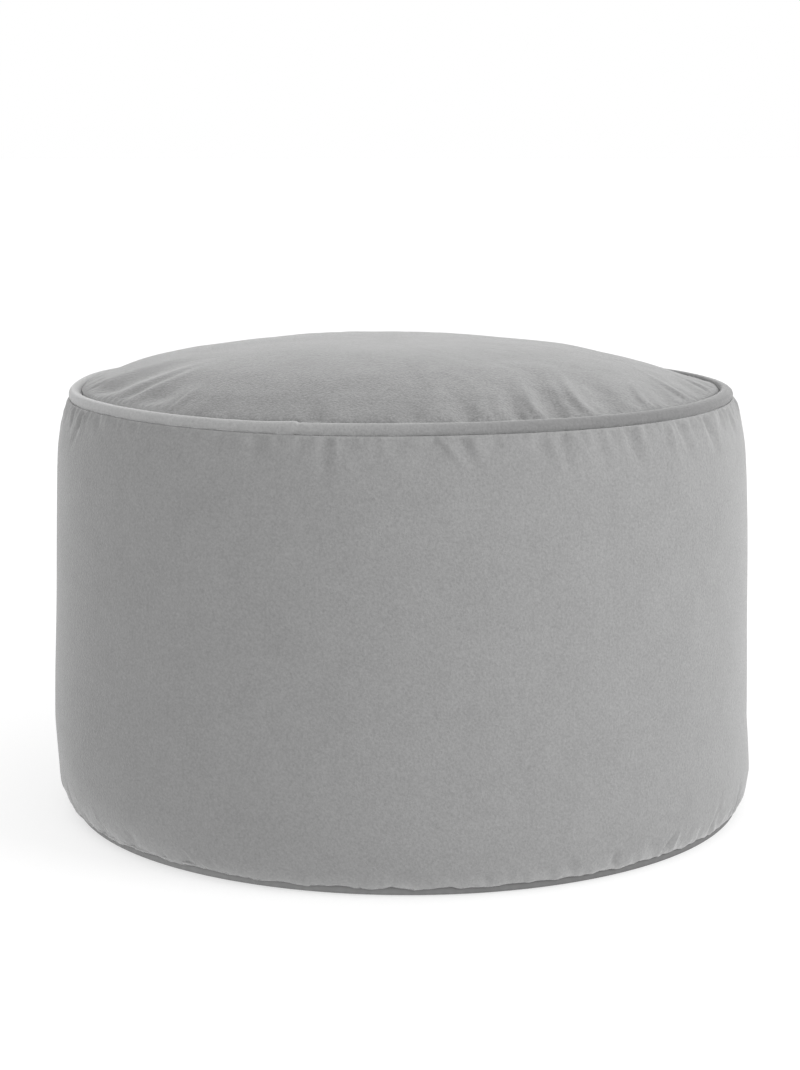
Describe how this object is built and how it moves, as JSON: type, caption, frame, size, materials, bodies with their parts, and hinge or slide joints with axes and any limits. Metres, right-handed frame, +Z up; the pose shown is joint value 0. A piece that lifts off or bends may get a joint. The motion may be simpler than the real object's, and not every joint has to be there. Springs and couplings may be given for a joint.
{
  "type": "round bean bag footstool",
  "caption": "Round drum footstool in light grey plush cloth: gathered domed top panel, covered piping round the top seam, bulging side band and a darker grey base panel.",
  "frame": {"origin": "on the floor, under the centre of the drum's bounding box", "axes": "+Z up along the drum's axis; -Y is the side that faces the viewer in the picture; +X to the viewer's right"},
  "size_m": [0.5473, 0.546, 0.36],
  "materials": {
    "plush_side": "short velvety pile, light grey",
    "plush_top": "short velvety pile, light grey",
    "plush_piping": "the same plush, cut on the bias and wrapped tightly round a cord",
    "base_cloth": "plain matt cloth, mid grey"
  },
  "bodies": {
    "root": {"side_band": "plush_side", "top_panel": "plush_top", "piping": "plush_piping", "base_panel": "base_cloth"}
  },
  "joints": []
}
